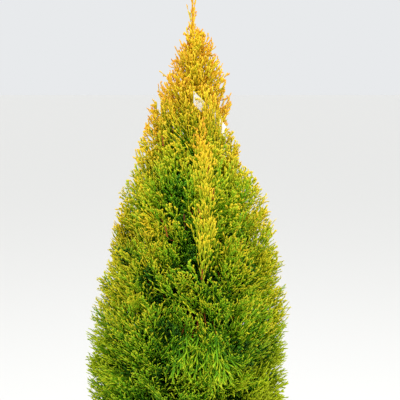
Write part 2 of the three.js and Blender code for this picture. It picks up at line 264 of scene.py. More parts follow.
# The crown's outline as height and radius, and its tiers as in the solids: the height of a tier's lower bound
# at the outline, that bound's rise outwards, the sectors that make its masses and their turn, whether it has
# boughs, its level for colour, and how many sprays a mass has in its face and inside.
OUTLINE = [
    (226, 104), (262, 132), (310, 148), (370, 154), (440, 156), (540, 147), (600, 134), (654, 121),
    (707, 105), (728, 98), (752, 82), (790, 72), (857, 54), (901, 40), (925, 30), (946, 13), (955, 5),
    (1003, 3),
]
TIER_KEYS = ("name", "from", "rise", "sectors", "turn", "boughs", "level", "sprays", "inner_sprays")
TIERS = [dict(zip(TIER_KEYS, values)) for values in (
    ("skirt", 226, 0.12, 6, -68, True, "low", 36, 44),
    ("lower", 335, 0.35, 6, -95, True, "low", 42, 48),
    ("middle", 450, 0.75, 6, -64, True, "middle", 44, 48),
    ("upper", 565, 1.15, 5, -58, False, "middle", 54, 50),
    ("high", 675, 1.6, 4, -100, False, "high", 60, 50),
    ("crest", 775, 2.1, 3, -80, False, "high", 48, 30),
    ("top", 868, 2.6, 2, -160, False, "high", 16, 0),
)]
CROWN_APEX = {"low": 1009, "rise": 3.4}
# The length of a spray in the crown's face falls from the crown's foot to its tip.
BLADE_LENGTHS = (104, 50)
BLADE_HEIGHTS = (250, 950)
BLADE_FALL = 1.3
ROOTS_NOT_NEARER = 0.42
# How far the crown's left and right sides stand out from the round outline: height, left, right.
SIDES = [
    (410, 8, -5), (470, 7, -2), (507, 9, 0), (569, 3, 1), (600, 0, 4), (680, 2, 5), (730, 4, 2),
    (752, 9, -9), (790, 6, -5), (812, 6, -13), (827, 7, -8), (847, 7, 2), (857, 0, 3), (879, 4, 6),
    (902, -1, 7), (925, -6, 8), (948, -4, 3), (958, 0, 0),
]
BOUGH = {
    "leaves_at": 0.4, "bend_out": 0.6, "bend_up": 0.27, "end_up": 0.5, "runs_in": 0.22, "thick": (4.2, 3.2),
    "taper": (1.1, 0.4), "points": 12, "sides": 9, "relief": 0.05,
}
# Where a tier has no boughs, short twigs on the trunk take their place.
TWIG_RUNS_IN = 0.06
TWIG_RADIUS = 2.8


def outline(height):
    return np.interp(height, *zip(*OUTLINE))


for number, tier in enumerate(TIERS):
    tier["number"] = number
    tier["low"] = tier["from"] - tier["rise"] * outline(tier["from"])
for tier, above in zip(TIERS, TIERS[1:] + [CROWN_APEX]):
    tier["high"] = above["low"]
    tier["high_rise"] = above["rise"]


def height_in(tier, radius, share):
    return mix(tier["low"] + tier["rise"] * radius, tier["high"] + tier["high_rise"] * radius, share)


def meets_outline(height_at, far, steps):
    """How far out a line meets the crown's outline, by halving. height_at gives its height at each radius."""
    near = 0.0
    for _ in range(steps):
        middle = (near + far) / 2
        if outline(height_at(middle)) > middle:
            near = middle
        else:
            far = middle
    return near


def reach(tier, share):
    return meets_outline(lambda radius: height_in(tier, radius, share), 200.0, 22)


def blade_length(height):
    return mix(*BLADE_LENGTHS, np.interp(height, BLADE_HEIGHTS, (0, 1)) ** BLADE_FALL)


def towards(bearing, rise=0):
    """A step of one towards a bearing, with its rise."""
    return np.array([math.cos(bearing), math.sin(bearing), rise])


def side_reach(height, east):
    """What the crown's sides add to the outline. East runs from -1, to the left, to 1, to the right."""
    levels, left, right = zip(*SIDES)
    to_left, to_right = [np.interp(height, levels, reaches) for reaches in (left, right)]
    return np.abs(east) * np.where(east > 0, to_right, to_left)


def in_mass(mass, out, across, up):
    """A point in a mass: its share of the way out, across from -1 to 1, and up from 0 to 1."""
    radius = out * reach(mass["tier"], up)
    height = height_in(mass["tier"], radius, up)
    bearing = mass["bearing"] + across * mass["half"]
    radius += out * side_reach(height, math.cos(bearing))
    return stem_centre(height) + radius * towards(bearing)


def bezier(start, bend, end, count):
    share = np.linspace(0, 1, count)[:, None]
    return start * (1 - share) ** 2 + 2 * bend * share * (1 - share) + end * share ** 2


def join(parts):
    """Joins lists of corners and faces into one pair of arrays."""
    corners, faces, first = [], [], 0
    for part_corners, part_faces in parts:
        corners.append(part_corners)
        faces.append(part_faces + first)
        first += len(part_corners)
    return np.concatenate(corners), np.concatenate(faces)


masses = []
for tier in TIERS:
    for sector in range(tier["sectors"]):
        bearing = math.radians(tier["turn"]) + 2 * math.pi * sector / tier["sectors"]
        mass = {"tier": tier, "sector": sector, "bearing": bearing, "half": math.pi / tier["sectors"]}
        mass["number"] = len(masses) + 1
        radius = reach(tier, 0.5)
        slope = (tier["rise"] + tier["high_rise"]) / 2
        length = blade_length(height_in(tier, radius, 0.5)) / math.hypot(1, slope) / radius
        mass["root"] = max(1 - length, ROOTS_NOT_NEARER)
        masses.append(mass)

limbs = []
for mass in masses:
    tier = mass["tier"]
    end = mass["root"] + (BOUGH["runs_in"] if tier["boughs"] else TWIG_RUNS_IN)
    thick = mix(*BOUGH["thick"], tier["number"] / 2) if tier["boughs"] else TWIG_RADIUS
    start = stem_centre(height_in(tier, 0, BOUGH["leaves_at"]))
    bend = in_mass(mass, end * BOUGH["bend_out"], 0, BOUGH["bend_up"])
    course = bezier(start, bend, in_mass(mass, end, 0, BOUGH["end_up"]), BOUGH["points"])
    radii = np.linspace(*BOUGH["taper"], BOUGH["points"]) * thick
    limbs.append(limb_arrays(course, radii, BOUGH["sides"], BOUGH["relief"]))
boughs = joined_mesh("boughs_bark", *join(limbs), [bark])
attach(boughs, "root")
with_boughs = [mass for mass in masses if mass["tier"]["boughs"]]
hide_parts(*[f"bough_{mass['tier']['name']}_{mass['sector'] + 1}" for mass in with_boughs])


# The sprays are the thuja's foliage. Each is a flat fan of branchlets clad in small scales, forked again and
# again in one plane, green inside and yellow to orange at its tips. A few patterns are made once and set into
# the crown hundreds of times, each with its own length, width, curl and tints.

# The tints from the oldest growth to the youngest tips. Scales are small and waxy, so a spray is matt with a
# faint sheen. Old growth in the shade is deep green, and what the sun reaches turns yellow and then orange.
SCALE_TINTS = {
    "shade_green": "#1E450A", "deep_green": "#32690B", "green": "#4B880D", "fresh_green": "#72AD10",
    "lime": "#99C517", "yellow_green": "#BCCB1B", "yellow": "#DBCF1F", "gold": "#F2D225",
    "orange_gold": "#F8C52B", "tip_orange": "#EBA12C",
}
GOLD = 7
TWIG = 10
spray_materials = []
for name, colour in SCALE_TINTS.items():
    spray_materials.append(new_material(f"thuja_scale_{name}", colour, 0.6, 0.2)[0])
# A bare twig has thin, smooth young bark, so it is an even red-brown, as matt as the scales.
spray_materials.append(new_material("thuja_twig_red_brown", "#9A4714", 0.6, 0.2)[0])

# The habits of growth: feathery in the lower crown, open with blunt tips above, single strands at the leader,
# and bare twigs. Branchlets are about twice as thick as in life, so that their count stays within reason.
HABIT_KEYS = (
    "width", "fan", "foot_angle", "tip_angle", "gap", "twig_gap", "fork", "branchlet", "widest", "shortest",
    "stem", "woody",
)
FEATHERY, OPEN, STRAND, TWIG_ONLY = [dict(zip(HABIT_KEYS, values)) for values in (
    (2.5, 0.5, 42, 19, 7.5, 7.8, 24, 22, 0.74, 4, 2.3, True),
    (3.5, 0.5, 36, 24, 10.5, 14, 32, 18, 0.82, 4, 2.5, True),
    (2.4, 0.02, 24, 20, 8, 9, 26, 3, 0.8, 3, 2.9, False),
    (1.6, 0.02, 30, 24, 9, 9, 26, 2, 0.8, 3, 2.3, True),
)]
# A branchlet's cross-section, as shares of half its width across and up.
SECTION = ((-1, -0.28), (1, -0.28), (0, 0.62))
# Rings along a spray's spine and along a branchlet: how far along, and how wide.
SPINE_RINGS = ((0.3, 0.8), (0.84, 1.0))
SPINE_PARTS = 4
SPINE_SWAY = 0.12
SPINE_OVERLAP = 0.15
FIRST_FAN = (0.1, 0.18)
BARE_TIP = 4
# The fans are longest a third of the way along the spine.
FAN_FULL = 1.12
FAN_FULL_AT = 0.36
FAN_FALL = 1.2
FAN_FORKS_FROM = 15
FAN_TURNS_IN = 0.2
# Ages run from 0, old and green, to past 1, this year's tips: a spine's last part, and a fan's two parts.
SPINE_AGE = 0.9
FAN_AGES = (0.35, 1.0)
FOOT_FAN_AGE = 0.8
SCATTER = (0.75, 1.15)
BRANCHLET_SCATTER = (0.65, 1.15)
BRANCHLET_SHARE = 0.6


def branchlets(parts, rings):
    """Corners and faces of many branchlets, each a slim closed body with these rings along it."""
    starts, ends = np.array(parts["start"], float), np.array(parts["end"], float)
    along = ends - starts
    ahead = along / np.linalg.norm(along, axis=1)[:, None]
    side = np.cross(np.array([0, 0, 1.0]), ahead)
    side /= np.linalg.norm(side, axis=1)[:, None]
    up = np.cross(ahead, side)
    half = np.array(parts["width"])[:, None] / 2
    corners = [starts]
    for share, scale in rings:
        for across, above in SECTION:
            corners.append(starts + along * share + (side * across + up * above) * half * scale)
    corners.append(ends)
    tip = 3 * len(rings) + 1
    faces = [(0, 2, 1), (0, 3, 2), (0, 1, 3)]
    if len(rings) > 1:
        for first, second in ((1, 2), (2, 3), (3, 1)):
            faces += [(first, second, second + 3), (first, second + 3, first + 3)]
    last = tip - 3
    faces += [(tip, last, last + 1), (tip, last + 1, last + 2), (tip, last + 2, last)]
    return np.stack(corners, axis=1), np.array(faces)


def pattern_arrays(groups_of_parts):
    """Joins branchlets into one pattern of unit length, with an age and a group for each face."""
    bodies, ages, groups, tips = [], [], [], []
    for parts, rings in groups_of_parts:
        corners, faces = branchlets(parts, rings)
        count, each = corners.shape[:2]
        firsts = each * np.arange(count)[:, None, None]
        bodies.append((corners.reshape(-1, 3), (faces + firsts).reshape(-1, 3)))
        ages.append(np.repeat(parts["age"], len(faces)))
        groups.append(np.repeat(parts["group"], len(faces)))
        tips.append(np.tile(np.arange(len(faces)) >= len(faces) - 3, count))
    corners, faces = join(bodies)
    return {
        "corners": corners / corners[:, 0].max(), "faces": faces, "tip": np.concatenate(tips),
        "age": np.concatenate(ages), "group": np.concatenate(groups).astype(int),
    }


def put(parts, *values):
    for key, value in zip(("start", "end", "width", "age", "group"), values):
        parts.setdefault(key, []).append(value)


def spray_pattern(seed, length, habit):
    """A spray in its own plane: x along it, y across, z out of it. Its branchlets have their real size."""
    luck = np.random.default_rng(seed)
    stems, twigs = {}, {}
    width = habit["width"]
    sway = luck.uniform(-SPINE_SWAY, SPINE_SWAY)
    spine = [np.array([x, sway * x * x / length, 0.0]) for x in np.linspace(0, length, SPINE_PARTS + 1)]
    for number in range(SPINE_PARTS):
        start, end = spine[number], spine[number + 1]
        group = -2 if number == 0 and habit["woody"] else -1
        age = mix(0.0, SPINE_AGE, number / (SPINE_PARTS - 1))
        put(stems, start, end + (end - start) * SPINE_OVERLAP, habit["stem"], age, group)
    where, side, group = luck.uniform(*FIRST_FAN) * length, luck.choice([-1, 1]), 0
    while where < length - BARE_TIP:
        share = where / length
        point = np.array([where, sway * where * share, 0.0])
        fullness = FAN_FULL - abs(share - FAN_FULL_AT) * FAN_FALL
        fan = max(habit["fan"] * length * fullness * luck.uniform(*SCATTER), habit["shortest"])
        angle = math.radians(mix(habit["foot_angle"], habit["tip_angle"], share) + luck.uniform(-8, 8))
        tilt = luck.uniform(-0.2, 0.2)
        steps = 1 if fan < FAN_FORKS_FROM else 2
        for step in range(steps):
            piece = fan / steps
            heading = angle - FAN_TURNS_IN * step
            ahead = np.array([math.cos(heading), side * math.sin(heading), tilt])
            after = point + ahead * piece
            age = mix(*FAN_AGES, (step + 1) / steps) * mix(FOOT_FAN_AGE, 1.0, share)
            put(stems, point, after + ahead, width, age, group)
            spots = max(int(round(piece / habit["twig_gap"])), 1)
            for spot in range(spots):
                along = (spot + 0.3 + luck.uniform(0, 0.4)) / spots
                root = point + ahead * piece * along
                hand = 1 if (spot + step + group) % 2 else -1
                bend = heading * side + hand * math.radians(habit["fork"] + luck.uniform(-7, 7))
                size = min(habit["branchlet"], BRANCHLET_SHARE * fan) * luck.uniform(*BRANCHLET_SCATTER)
                size *= mix(1.05, 0.75, along * (step + 1) / steps)
                end = root + size * np.array([math.cos(bend), math.sin(bend), luck.uniform(-0.3, 0.3)])
                put(twigs, root, end, width * luck.uniform(0.85, 1.1), age + luck.uniform(0.05, 0.3), group)
            point = after
        where += habit["gap"] * luck.uniform(0.75, 1.25)
        side, group = -side, group + 1
    return pattern_arrays([(stems, SPINE_RINGS), (twigs, ((habit["widest"], 1.0),))])


def inner_pattern(seed):
    """A plainer spray of unit length for the crown's inside: a spine with broad branchlets, forked once."""
    luck = np.random.default_rng(seed)
    stems = {}
    put(stems, np.zeros(3), np.array([1.0, 0, 0]), 0.04, 0, 0)
    where, side, group = 0.08, 1, 1
    while where < 0.95:
        fan = 0.4 * (1.15 - abs(where - 0.35) * 1.1) * luck.uniform(*SCATTER)
        angle = math.radians(mix(56, 26, where) + luck.uniform(-8, 8))
        start = np.array([where, 0, 0])
        end = start + fan * np.array([math.cos(angle), side * math.sin(angle), luck.uniform(-0.25, 0.25)])
        put(stems, start, end, 0.042, 0.5, group)
        fork = mix(start, end, 0.45)
        angle += luck.choice([-1, 1]) * 0.6
        end = fork + fan * 0.55 * np.array([math.cos(angle), side * math.sin(angle), luck.uniform(-0.3, 0.3)])
        put(stems, fork, end, 0.04, 0.7, group)
        where, side, group = where + 0.05 * luck.uniform(0.8, 1.2), -side, group + 1
    return pattern_arrays([(stems, ((0.7, 1.0),))])


PATTERN_LENGTHS = (32, 46, 62, 82)
STRAND_LENGTHS = (20, 30, 44, 60)
BARE_TWIG_LENGTH = 18
PATTERNS_EACH = 7
INNER_PATTERNS = 6


def pattern_family(habit, seed):
    return {
        length: [spray_pattern(length * seed + number, length, habit) for number in range(PATTERNS_EACH)]
        for length in PATTERN_LENGTHS
    }


feathery_patterns = pattern_family(FEATHERY, 10)
open_patterns = pattern_family(OPEN, 20)
strand_patterns = {length: spray_pattern(900 + length, length, STRAND) for length in STRAND_LENGTHS}
bare_twig = spray_pattern(950, BARE_TWIG_LENGTH, TWIG_ONLY)
inner_patterns = [inner_pattern(300 + number) for number in range(INNER_PATTERNS)]

# Where the sprays stand. None goes past the furthest left and right of the solids' box and its allowance, and
# the ones in the crown's face end this far inside or outside its outline.
FURTHEST_LEFT = -158
FURTHEST_RIGHT = 161
TIP_ROOM = (-5, 5)
# The height from which sprays are open, and the height over which the two habits are mixed.
OPEN_FROM = 690
OPEN_SPREAD = 260


def chance(mass, spray, draw):
    """The plant's repeatable random number from 0 to 1, the same as in the solids."""
    wave = math.sin(mass * 12.9898 + spray * 78.233 + draw * 37.719) * 43758.5453
    return wave - math.floor(wave)


def turned(ahead, angle):
    """The direction across a spray that points ahead: level, and then turned about the spray."""
    level = np.array([-ahead[1], ahead[0], 0])
    level /= np.linalg.norm(level)
    return level * math.cos(angle) + np.cross(ahead, level) * math.sin(angle)


def pattern_for(length, luck, height):
    """A pattern made for about this length, so that the branchlets keep their real size."""
    nearest = min(PATTERN_LENGTHS, key=lambda made: abs(made - length))
    family = open_patterns if height + OPEN_SPREAD * (luck - 0.5) > OPEN_FROM else feathery_patterns
    return family[nearest][int(luck * PATTERNS_EACH) % PATTERNS_EACH]


def set_place(root, tip, turn, width=0.9, tint=0.0, curl=0.05, cup=0.2, pattern=None, luck=0.5, kept=True):
    """A spray from its root to its tip. Its pattern is one for its length unless one is given."""
    root, tip = np.array(root, float), np.array(tip, float)
    length = np.linalg.norm(tip - root)
    ahead = (tip - root) / length
    return {
        "root": root, "ahead": ahead, "wide": turned(ahead, turn), "length": length, "width": width,
        "curl": curl, "cup": cup, "tint": tint, "pattern": pattern or pattern_for(length, luck, tip[2]),
        "kept": kept and pattern is None,
    }


# How the sprays in a mass's face lie, as shares of the mass's own width, depth and height.
FACE = {
    "side_step": 0.7548776662, "up_step": 0.5698402910, "width": 0.87, "width_of_two": 0.6,
    "depth": (0.96, 1.02), "sunk": 0.15, "root_width": 0.57, "root_strays": 0.24, "root_height": 0.62,
    "seam": 0.83, "seam_root": (0.93, 0.83), "foot": (0.04, 0.1), "foot_root": 0.12, "overlap": 1.2,
    "height": (-0.04, 1.04), "top_height": (-0.04, 0.86), "length": (0.75, 1.02),
    "root_room": np.array([-0.08, 0.2]),
}


def outer_place(mass, number):
    """Where a spray in the crown's face starts and ends, and how it is turned, by the rule of the solids."""
    def draw(which):
        return chance(mass["number"], number + 1, which)

    # The tips are dealt out evenly over the mass's face by two steps that never repeat.
    tier = mass["tier"]
    side_step = (chance(mass["number"], 0, 1) + number * FACE["side_step"]) % 1
    up = (chance(mass["number"], 0, 2) + number * FACE["up_step"]) % 1
    across = FACE["width" if tier["sectors"] > 2 else "width_of_two"] * (2 * side_step - 1)
    depth = mix(*FACE["depth"], draw(1))
    if number % 4 == 3:
        depth -= FACE["sunk"]
    root_across = FACE["root_width"] * across + FACE["root_strays"] * (draw(2) - 0.5)
    root_up = 0.5 + FACE["root_height"] * (up - 0.5)
    # Some close the seams to the next sector and to the tier below.
    if number % 6 == 5:
        across, root_across = FACE["seam"], mix(*FACE["seam_root"], draw(2))
    if number % 6 == 2:
        up, root_up = mix(*FACE["foot"], draw(3)), FACE["foot_root"]
    height = mix(*FACE["top_height" if tier["name"] == "top" else "height"], up)
    tip = in_mass(mass, depth, across * FACE["overlap"], height)
    length = blade_length(tip[2]) * mix(*FACE["length"], draw(4))
    centre = stem_centre(tip[2])
    radius = math.hypot(tip[0] - centre[0], tip[1] - centre[1])
    slope = mix(tier["rise"], tier["high_rise"], up)
    inwards = 1 - length / math.hypot(1, slope) / max(radius, 1)
    root = in_mass(mass, np.clip(inwards, *(mass["root"] + FACE["root_room"])), root_across, root_up)
    # Sprays that lie further out get a yellower tint, and deeper ones, most of all the sunk ones, a darker
    # tint: painted light and shade.
    return set_place(root, tip, 2.2 * (draw(5) - 0.5), width=mix(0.8, 1.1, draw(6)),
                     tint=1.5 * (draw(10) - 0.5) + (depth - 0.95) * 8, curl=mix(-0.1, 0.16, draw(8)),
                     cup=mix(-0.5, 0.5, draw(9)), luck=draw(7))


# Where the sprays inside a mass start, as shares of its depth, and how far out they may go.
NEAR_FACE = ((0.4, 0.68), 0.9)
DEEP_INSIDE = ((0.12, 0.55), 0.82)
INNER_LENGTHS = (16, 85)


def inner_place(mass, number):
    """A shaded spray that grows between the trunk and the mass's face."""
    luck = np.random.default_rng(mass["number"] * 1000 + 500 + number)
    tier = mass["tier"]
    near_face = number % 3 == 2 and tier["name"] not in ("high", "crest")
    starts, furthest = NEAR_FACE if near_face else DEEP_INSIDE
    root = in_mass(mass, luck.uniform(*starts), luck.uniform(-1, 1), luck.uniform(0.1, 0.85))
    bearing = mass["bearing"] + luck.uniform(-1, 1) * mass["half"]
    slope = mix(tier["rise"], tier["high_rise"], 0.5) + luck.uniform(-0.3, 0.6)
    ahead = towards(bearing, slope) / math.hypot(1, slope)
    room = furthest * reach(tier, 0.5) - math.hypot(root[0], root[1])
    length = np.clip(room * math.hypot(1, slope), *INNER_LENGTHS)
    return set_place(root, root + ahead * length, luck.uniform(-0.9, 0.9), width=1.0,
                     curl=luck.uniform(-0.1, 0.2), cup=0.0, tint=luck.uniform(-1, 1),
                     pattern=inner_patterns[number % INNER_PATTERNS])


def dealt(count, seed):
    """Numbers the sprays of a set, each with its share of the way through the set and its own luck."""
    for number in range(count):
        yield number, number / (count - 1), np.random.default_rng(seed + number)


# The strands that end the leader: root, tip, turn and the length of their pattern.
STRANDS = [
    ((8, -1, 948), (-1, -3, 983), 0.3, 44), ((9, -1, 950), (10, -1, 1008), 1.2, 60),
    ((9, 0, 955), (14, -2, 973), -0.9, 20), ((10, -1, 974), (4, -2, 996), 0.2, 20),
    ((8, 0, 932), (3, -3, 958), 0.4, 30), ((9, -1, 905), (10, -5, 951), 0.8, 44),
    ((8, -1, 902), (5, -4, 946), -0.4, 44), ((9, 1, 904), (13, 4, 948), 0.2, 44),
    ((9, -3, 926), (11, -3, 966), 0.5, 44), ((8, 3, 922), (7, 4, 962), -0.5, 44),
]
# The sprays just below them that stand clear of the crown: root, tip and turn.
SHOULDERS = [
    ((10, 0, 866), (36, -9, 924), 0.4), ((10, 0, 850), (43, -5, 908), -0.5),
    ((9, 2, 880), (25, -13, 936), 0.9), ((9, 0, 862), (-21, -10, 921), 0.2),
]
LEADER_SPRAYS = 96
LEADER_HEIGHTS = (775, 922)
LEADER_SLOPES = (1.4, 2.3)
LEADER_WIDEST = 90
GOLDEN_ANGLE = 2.399963


def leader_places():
    """Steep sprays all round the leader, out to the crown's outline, and the strands at its tip."""
    for number, share, luck in dealt(LEADER_SPRAYS, 7000):
        height = mix(*LEADER_HEIGHTS, share ** 0.85)
        slope = mix(*LEADER_SLOPES, share) * luck.uniform(0.85, 1.2)
        near = meets_outline(lambda radius: height + slope * radius, LEADER_WIDEST, 18)
        bearing = GOLDEN_ANGLE * number
        out = (near + side_reach(height + slope * near, math.cos(bearing))) * luck.uniform(0.8, 1.05)
        tip = stem_centre(height) + out * towards(bearing, slope)
        yield set_place(stem_centre(height), tip, luck.uniform(-1.3, 1.3), luck.uniform(0.6, 0.9),
                        luck.uniform(-0.7, 0.7), luck.uniform(-0.05, 0.15), luck=luck.random())
    for root, tip, turn, made in STRANDS:
        yield set_place(root, tip, turn, width=1.0, tint=1.4, curl=0.02, pattern=strand_patterns[made])
    for root, tip, turn in SHOULDERS:
        yield set_place(root, tip, turn, width=0.8, tint=0.2)


# The plume of upright golden sprays that stands out on the front, right of the middle, from its lowest to its
# highest: the heights of its roots, how far right they stand, and their rise. Sprays tinted the darkest green
# stand behind it as painted shade.
PLUME = {
    "sprays": 16, "roots": (575, 742), "right": (27, 17), "rise": (66, 84), "dark": 7,
    "painted_shade_roots": (590, 720),
}


def plume_places():
    for _, share, luck in dealt(PLUME["sprays"], 7600):
        height = mix(*PLUME["roots"], share)
        front = outline(height + 40)
        across = mix(*PLUME["right"], share) + luck.uniform(-8, 8)
        root = (across - luck.uniform(-4, 4), -(front - 22), height)
        tip = (across + luck.uniform(-6, 6), -(front - 2), height + luck.uniform(*PLUME["rise"]))
        yield set_place(root, tip, luck.uniform(-0.5, 0.5), width=0.55, tint=1.9, curl=0.06,
                        luck=0.75 + 0.25 * luck.random(), kept=False)
    # The sprays behind the plume take the darkest tint, as painted shade.
    for number, share, _ in dealt(PLUME["dark"], 0):
        root = stem_centre(mix(*PLUME["painted_shade_roots"], share)) + np.array([0, -12, 0])
        tip = root + np.array([20 * (number % 2) - 14, -30, 66])
        yield set_place(root, tip, 0.2, width=1.0, tint=-3.5, luck=number / PLUME["dark"])


# The sprays in front of the label, which leave its two ends in view: bearing, root height, tip height and
# turn. All start and end this far from the stem.
VEIL = [
    (-60, 774, 836, -0.2), (-52, 768, 832, 0.2), (-47, 764, 824, 0.0), (-43, 758, 816, 0.1),
    (-55, 782, 848, 0.4), (-50, 780, 828, 0.3), (-45, 772, 820, -0.3), (-34, 752, 803, 0.2),
    (-64, 776, 836, 0.2), (-57, 770, 824, -0.2), (-61, 782, 842, -0.5), (-69, 794, 860, 0.1),
    (-66, 788, 852, -0.3), (-71, 780, 840, 0.5), (-66, 774, 836, 0.1), (-62, 772, 832, 0.6),
    (-73, 772, 828, 0.2),
]
VEIL_ROOT = 51
VEIL_TIP = 60


def veil_places():
    for bearing, height, reached, turn in VEIL:
        ahead = towards(math.radians(bearing))
        root = stem_centre(height) + ahead * VEIL_ROOT
        tip = stem_centre(reached) + ahead * VEIL_TIP
        yield set_place(root, tip, turn, width=0.5, curl=0.03, luck=(bearing % 7) / 7, kept=False)


# The long sprays that hang down over the front of the lower crown, from left to right: how far right they
# start and end, how high, and how far out.
FANS = 9
FAN_ROOTS = {"right": (0, 42), "height": (520, 548), "out": (96, 108)}
FAN_TIPS = {"right": (-30, 78), "height": (432, 462), "out": (150, 138)}


def fan_places():
    for _, share, luck in dealt(FANS, 7700):
        out = luck.uniform(*FAN_ROOTS["out"])
        root = (mix(*FAN_ROOTS["right"], share), -out, mix(*FAN_ROOTS["height"], luck.random()))
        across = mix(*FAN_TIPS["right"], share) + luck.uniform(-5, 5)
        out = mix(*FAN_TIPS["out"], abs(share - 0.5) * 2)
        tip = (across, -out, luck.uniform(*FAN_TIPS["height"]))
        turn = 0.2 * luck.uniform(-1, 1)
        yield set_place(root, tip, turn, width=1.0, tint=0.3, curl=-0.12, luck=luck.random())


SIDE_SPRAYS = 72
SIDE_HEIGHTS = (408, 830)


def side_places():
    """The sprays that fill out the crown's left and right sides, as wide as the photograph shows them."""
    for number, _, luck in dealt(SIDE_SPRAYS, 7900):
        height = mix(*SIDE_HEIGHTS, (number // 2) / (SIDE_SPRAYS / 2 - 1))
        bearing = (math.pi if number % 2 else 0) + luck.uniform(-0.3, 0.3)
        radius = (outline(height) + side_reach(height, math.cos(bearing))) * luck.uniform(0.98, 1.02)
        tip = stem_centre(height) + radius * towards(bearing)
        aside = bearing + luck.uniform(-0.2, 0.2)
        length = blade_length(height) * luck.uniform(0.55, 0.75)
        slope = np.interp(height, (420, 720), (0.4, 1.2)) * luck.uniform(0.8, 1.2)
        root = tip - length / math.hypot(1, slope) * towards(aside, slope)
        yield set_place(root, tip, luck.uniform(-0.9, 0.9), tint=luck.uniform(-0.3, 0.5), curl=0.08,
                        luck=luck.random())


# The lengths of bare red-brown twig that the front's sprays leave in view: across, up and lean.
TWIGS_IN_VIEW = [(-33, 776, 2), (29, 736, -3), (21, 676, 4), (37, 702, -2), (-26, 652, 3), (22, 594, -1)]


def twig_places():
    for across, up, lean in TWIGS_IN_VIEW:
        front = math.sqrt(outline(up) ** 2 - across ** 2)
        root = (across + stem_centre(up)[0] - 8, 1 - front, up)
        tip = (root[0] - lean, -front - 2, up + 17)
        yield set_place(root, tip, 0.3, width=1.0, curl=0.0, pattern=bare_twig)


# Places in the front where masses meet or the face is thin, and sprays grow through to the crown's outline:
# across, up, and how many.
SEAMS = [
    (-24, 596, 7), (14, 438, 8), (136, 612, 6), (46, 548, 4), (-60, 700, 3), (-40, 806, 6), (-46, 756, 6),
    (-56, 722, 6), (70, 700, 5), (30, 770, 4), (-63, 628, 6), (-40, 640, 5),
]


def seam_places():
    for across, up, count in SEAMS:
        for _, _, luck in dealt(count, 7800 + 13 * up):
            x = across + luck.uniform(-13, 13)
            tip = stem_centre(up + luck.uniform(-16, 16))
            radius = outline(tip[2]) * luck.uniform(0.95, 1.01)
            bearing = -math.acos(np.clip((x - tip[0]) / radius, -1, 1))
            aside = bearing + luck.uniform(-0.25, 0.25)
            root = stem_centre(tip[2] - luck.uniform(34, 48)) + 0.64 * radius * towards(aside)
            yield set_place(root, tip + radius * towards(bearing), luck.uniform(-0.8, 0.8),
                            tint=luck.uniform(-0.6, 0.4), curl=0.1, luck=luck.random())


# Hollows in the front of the crown, whose sprays get a darker tint as painted shade, and last a swell whose
# sprays
# get a yellower tint as painted sunlight: across and up, half the width and half the height, how deep it lies
# and how much painted shade it gets, below none for the swell.
HOLLOWS = [
    (-9, 728, 14, 34, 14, 2.4), (1, 660, 15, 50, 42, 2.6), (49, 680, 12, 42, 16, 1.8),
    (18, 560, 14, 16, 42, 2.6), (-46, 668, 24, 56, 0, -1.0),
]


def tip_of(place):
    return place["root"] + place["ahead"] * place["length"]


def sunk_in_hollow(place):
    """Draws a spray in a hollow back towards the trunk and darkens its tint as painted shade; the swell's is
    lightened as painted sunlight.
    """
    tip = tip_of(place)
    for across, up, wide, tall, depth, painted_shading in HOLLOWS:
        if tip[1] < 0 and math.hypot((tip[0] - across) / wide, (tip[2] - up) / tall) < 1:
            place["root"] = place["root"] + np.array([0, depth, 0])
            # Painted shade: the tint drops by this much, and the swell's value below none raises it as
            # painted sunlight.
            place["tint"] -= painted_shading
            break
    return place


def place_spray(place):
    """The corners of a spray on its root, with its tip curled and its sides cupped, inside the outline."""
    x, y, z = place["pattern"]["corners"].T
    y = y * place["width"]
    z = z + place["curl"] * x * x + place["cup"] * y * y
    ahead, wide = place["ahead"], place["wide"]
    normal = np.cross(ahead, wide)
    corners = place["root"] + place["length"] * (x[:, None] * ahead + y[:, None] * wide + z[:, None] * normal)
    if place["kept"]:
        from_stem = corners[:, :2] - stem_centre(tip_of(place)[2])[:2]
        radius = np.linalg.norm(from_stem, axis=1)
        heights = corners[:, 2]
        room = mix(*TIP_ROOM, place["length"] * 7.3 % 1)
        over = radius - outline(heights) - side_reach(heights, from_stem[:, 0] / radius) - room
        worst = over.argmax()
        corners[:, :2] -= from_stem[worst] / radius[worst] * max(over[worst], 0)
    corners[:, 0] += max(FURTHEST_LEFT - corners[:, 0].min(), 0)
    corners[:, 0] += min(FURTHEST_RIGHT - corners[:, 0].max(), 0)
    return corners


# The tint at a spray's foot by height, in the crown's face and inside it, and the yellowest a spray gets.
# Sprays are yellower at the crown's sides, as a painted highlight on its lit edges, and on the right low
# down.
TINTS = [
    (430, 1.1), (507, 1.5), (569, 2.1), (631, 2.7), (692, 2.9), (752, 3.0), (812, 4.8), (872, 5.5),
    (950, 5.9),
]
INNER_TINTS = [(560, 0.6), (700, 2.2), (750, 4.2), (800, 5.6), (860, 6.4)]
YELLOWEST = [(430, 5.2), (560, 6.4), (680, 7.4), (780, 9)]
SIDES_PAINTED_HIGHLIGHT = 0.9
RIGHT_YELLOWER = 1.5
YELLOWER_WITH_AGE = (2.7, 1.0)
TIPS_YELLOWER = 1.0
# The share of sprays whose foot is a brown twig.
BROWN_FEET = 0.4


